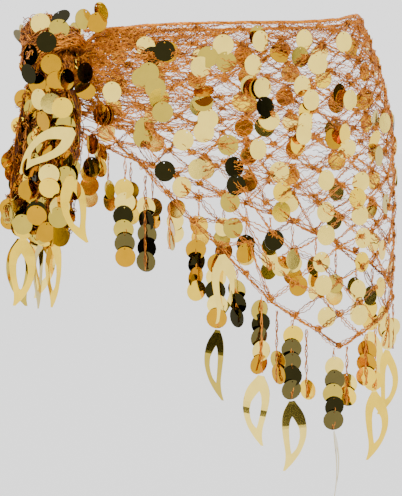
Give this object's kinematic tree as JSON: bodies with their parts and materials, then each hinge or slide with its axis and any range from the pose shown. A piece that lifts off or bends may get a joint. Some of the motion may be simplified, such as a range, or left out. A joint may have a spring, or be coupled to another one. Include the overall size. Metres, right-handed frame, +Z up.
{
  "type": "belly dance hip scarf",
  "caption": "Triangular knotted net hip scarf hung with round coins and crescent pendants, worn round the hips and tied in a side knot with hanging tails",
  "frame": {"origin": "middle of the waist opening, level with the highest part of the waist cord, on the wearer's upright centre line", "axes": "+Z up towards the wearer's waist, front towards -Y, the wearer's left towards +X"},
  "size_m": [0.3904, 0.271, 0.4709],
  "materials": {
    "copper_yarn": "twisted copper-coloured metallic yarn",
    "gold_coin": "mirror gold metallised film"
  },
  "bodies": {
    "root": {"coins_back_18": "gold_coin", "coins_back_20": "gold_coin", "coins_back_22": "gold_coin", "coins_back_24": "gold_coin", "coins_back_26": "gold_coin", "coins_back_28": "gold_coin", "coins_back_30": "gold_coin", "coins_back_32": "gold_coin", "coins_front_02": "gold_coin", "coins_front_04": "gold_coin", "coins_front_06": "gold_coin", "coins_front_08": "gold_coin", "coins_front_10": "gold_coin", "coins_front_12": "gold_coin", "coins_front_14": "gold_coin", "coins_front_16": "gold_coin", "fringe_back": "gold_coin", "fringe_front": "gold_coin", "knot_band": "copper_yarn", "knot_core": "copper_yarn", "net_back": "copper_yarn", "net_front": "copper_yarn", "tail_back": "copper_yarn", "tail_coins_back": "gold_coin", "tail_coins_front": "gold_coin", "tail_fringe_back": "gold_coin", "tail_fringe_front": "gold_coin", "tail_front": "copper_yarn", "throat_back": "copper_yarn", "throat_front": "copper_yarn", "waist_cord_back": "copper_yarn", "waist_cord_front": "copper_yarn"}
  },
  "joints": []
}
